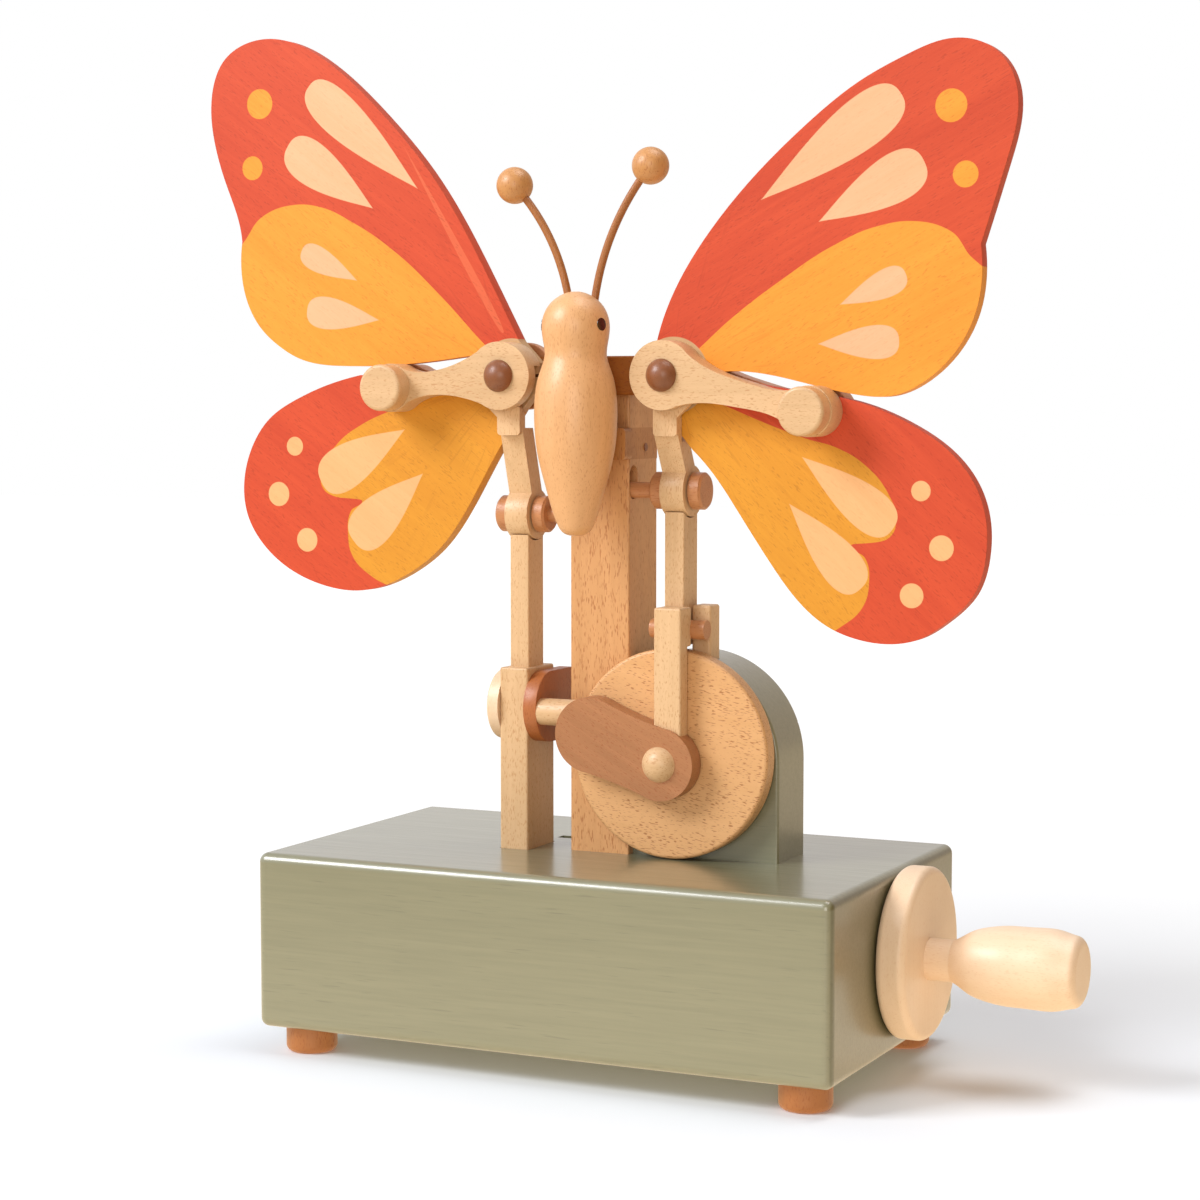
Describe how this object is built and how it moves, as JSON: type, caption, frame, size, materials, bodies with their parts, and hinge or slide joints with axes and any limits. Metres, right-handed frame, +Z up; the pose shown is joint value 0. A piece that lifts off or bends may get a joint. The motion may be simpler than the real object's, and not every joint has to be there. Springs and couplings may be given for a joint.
{
  "type": "wooden butterfly automaton",
  "caption": "Hand-cranked wooden automaton: a butterfly whose wings rise and fall, driven from a crank on a box base by a wheel and a sliding frame.",
  "frame": {"origin": "on the table under the middle of the base", "axes": "+X to the crank side, +Y to the back, +Z up"},
  "size_m": [0.3032, 0.116, 0.3354],
  "materials": {
    "sage": "satin green stain",
    "beech": "satin oil",
    "cream": "satin oil",
    "walnut": "satin oil",
    "eye_black": "gloss paint",
    "coral": "satin stain",
    "yellow": "satin stain",
    "steel": "brushed"
  },
  "bodies": {
    "frame": {"antenna_balls": "beech", "antenna_rods": "walnut", "arch_block": "sage", "base_cover": "sage", "base_shell": "sage", "butterfly_body": "beech", "cover_screws": "steel", "cross_beam": "beech", "dowels": "beech", "eyes": "eye_black", "feet": "sage", "guide_block": "beech", "pivot_pins": "walnut", "pivot_washers": "cream", "post": "beech", "post_head": "beech", "saddle_block": "beech", "saddle_plug": "beech", "shaft_bearing": "beech", "spindle_step": "beech"},
    "crank": {"crank_disc": "cream", "crank_handle": "cream", "crank_shaft": "beech", "shaft_collar": "walnut", "drive_wheel": "beech"},
    "spindle": {"spindle": "beech", "friction_platter": "beech", "friction_roller": "beech"},
    "wheel": {"big_wheel": "beech", "wheel_shaft": "beech", "wheel_collar": "walnut", "wheel_pin": "walnut"},
    "yoke": {"yoke_block": "beech", "yoke_axle": "cream", "cap_disc": "cream", "yoke_cheek": "walnut", "cross_bar": "cream", "yoke_arm": "walnut", "arm_plug": "beech", "left_rod": "beech", "lower_rod": "beech", "upper_rod": "beech", "lap_pin": "walnut", "left_knuckle_pin": "walnut", "right_knuckle_pin": "walnut"},
    "left_wing": {"left_front_arm": "beech", "left_rear_arm": "beech", "left_upper_wing": "coral", "left_lower_wing": "yellow", "left_knob": "beech", "left_lift_pin": "walnut"},
    "right_wing": {"right_front_arm": "beech", "right_rear_arm": "beech", "right_upper_wing": "coral", "right_lower_wing": "yellow", "right_knob": "beech", "right_lift_pin": "walnut"},
    "left_link": {"left_strap": "beech", "left_leg": "beech"},
    "right_link": {"right_link": "beech"}
  },
  "joints": [
    {"name": "crank_turn", "type": "hinge", "parent": "frame", "child": "crank", "pos_m": [0.1, 0.005, 0.04], "axis": [1, 0, 0], "continuous": true},
    {"name": "spindle_turn", "type": "hinge", "parent": "frame", "child": "spindle", "pos_m": [0.0272, 0.005, 0.06], "axis": [0, 0, 1], "continuous": true},
    {"name": "wheel_turn", "type": "hinge", "parent": "frame", "child": "wheel", "pos_m": [0.0272, 0, 0.1007], "axis": [0, 1, 0], "continuous": true},
    {"name": "yoke_slide", "type": "slide", "parent": "frame", "child": "yoke", "axis": [0, 0, 1], "range_m": [0, 0.005]},
    {"name": "left_wing_hinge", "type": "hinge", "parent": "frame", "child": "left_wing", "pos_m": [-0.0288, -0.011, 0.2218], "axis": [0, 1, 0], "range_deg": [0, 36]},
    {"name": "right_wing_hinge", "type": "hinge", "parent": "frame", "child": "right_wing", "pos_m": [0.0288, -0.011, 0.2218], "axis": [0, -1, 0], "range_deg": [0, 36]},
    {"name": "left_link_hinge", "type": "hinge", "parent": "left_wing", "child": "left_link", "pos_m": [-0.0368, -0.0169, 0.2193], "axis": [0, 1, 0], "range_deg": [-36, 0]},
    {"name": "right_link_hinge", "type": "hinge", "parent": "right_wing", "child": "right_link", "pos_m": [0.0368, -0.0169, 0.2193], "axis": [0, -1, 0], "range_deg": [-36, 0]}
  ],
  "couplings": [
    {"joint": "spindle_turn", "follows": "crank_turn", "ratio": -0.8},
    {"joint": "wheel_turn", "follows": "crank_turn", "ratio": 0.5},
    {"joint": "left_wing_hinge", "follows": "yoke_slide", "rad_per_m": 125},
    {"joint": "right_wing_hinge", "follows": "yoke_slide", "rad_per_m": 125},
    {"joint": "left_link_hinge", "follows": "yoke_slide", "rad_per_m": -125},
    {"joint": "right_link_hinge", "follows": "yoke_slide", "rad_per_m": -125}
  ]
}
